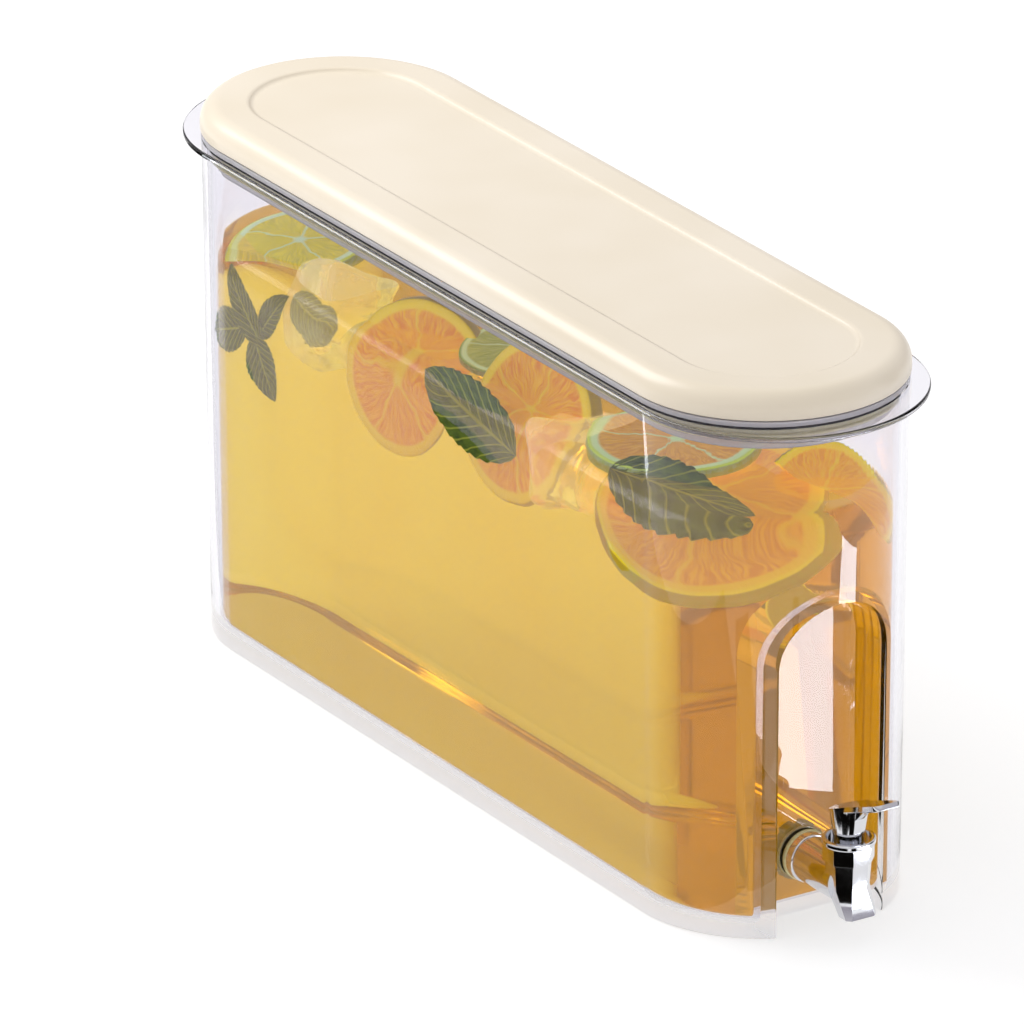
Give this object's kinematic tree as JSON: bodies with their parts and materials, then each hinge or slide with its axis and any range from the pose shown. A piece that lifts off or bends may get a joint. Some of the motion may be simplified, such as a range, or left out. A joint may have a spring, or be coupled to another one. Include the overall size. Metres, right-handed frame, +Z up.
{
  "type": "beverage dispenser",
  "caption": "Slim clear drink tank with a cream lid, an arched front niche and a chrome push-lever tap.",
  "frame": {"origin": "centre of the tank's base, on the surface it stands on", "axes": "+Z up, +Y along the tank's length away from the tap, +X across it"},
  "size_m": [0.0996, 0.3917, 0.1918],
  "materials": {
    "clear_plastic": "clear moulded, polished",
    "cream_plastic": "satin-gloss cream",
    "chrome_plating": "bright chrome plating",
    "silicone": "soft matt",
    "grey_nylon": "matt moulded",
    "brass_rod": "turned",
    "dark_rubber": "matt",
    "spring_steel": "drawn wire"
  },
  "bodies": {
    "tank": {"tank": "clear_plastic", "spigot_body": "chrome_plating", "wall_ring": "chrome_plating", "outer_washer": "silicone", "inner_washer": "silicone", "lock_nut": "grey_nylon", "bonnet": "chrome_plating", "bonnet_gasket": "silicone", "return_spring": "spring_steel"},
    "lid": {"lid_cover": "cream_plastic", "lid_plate": "clear_plastic", "lid_gasket": "silicone"},
    "stem": {"stem": "brass_rod", "seat_plug": "silicone", "stem_o_ring": "dark_rubber"},
    "lever": {"lever": "chrome_plating", "lever_pin": "spring_steel"}
  },
  "joints": [
    {"name": "lid_lift", "type": "slide", "parent": "tank", "child": "lid", "axis": [0, 0, 1], "range_m": [0, 0.06]},
    {"name": "stem_lift", "type": "slide", "parent": "tank", "child": "stem", "axis": [0, 0, 1], "range_m": [0, 0.00192], "deforming": ["return_spring"]},
    {"name": "lever_press", "type": "hinge", "parent": "stem", "child": "lever", "pos_m": [0, -0.181, 0.0388], "axis": [1, 0, 0], "range_deg": [0, 25], "stiffness_Nm_per_rad": 0.02, "springref_deg": -34.38}
  ],
  "couplings": [
    {"joint": "lever_press", "follows": "stem_lift", "rad_per_m": 227.2}
  ]
}
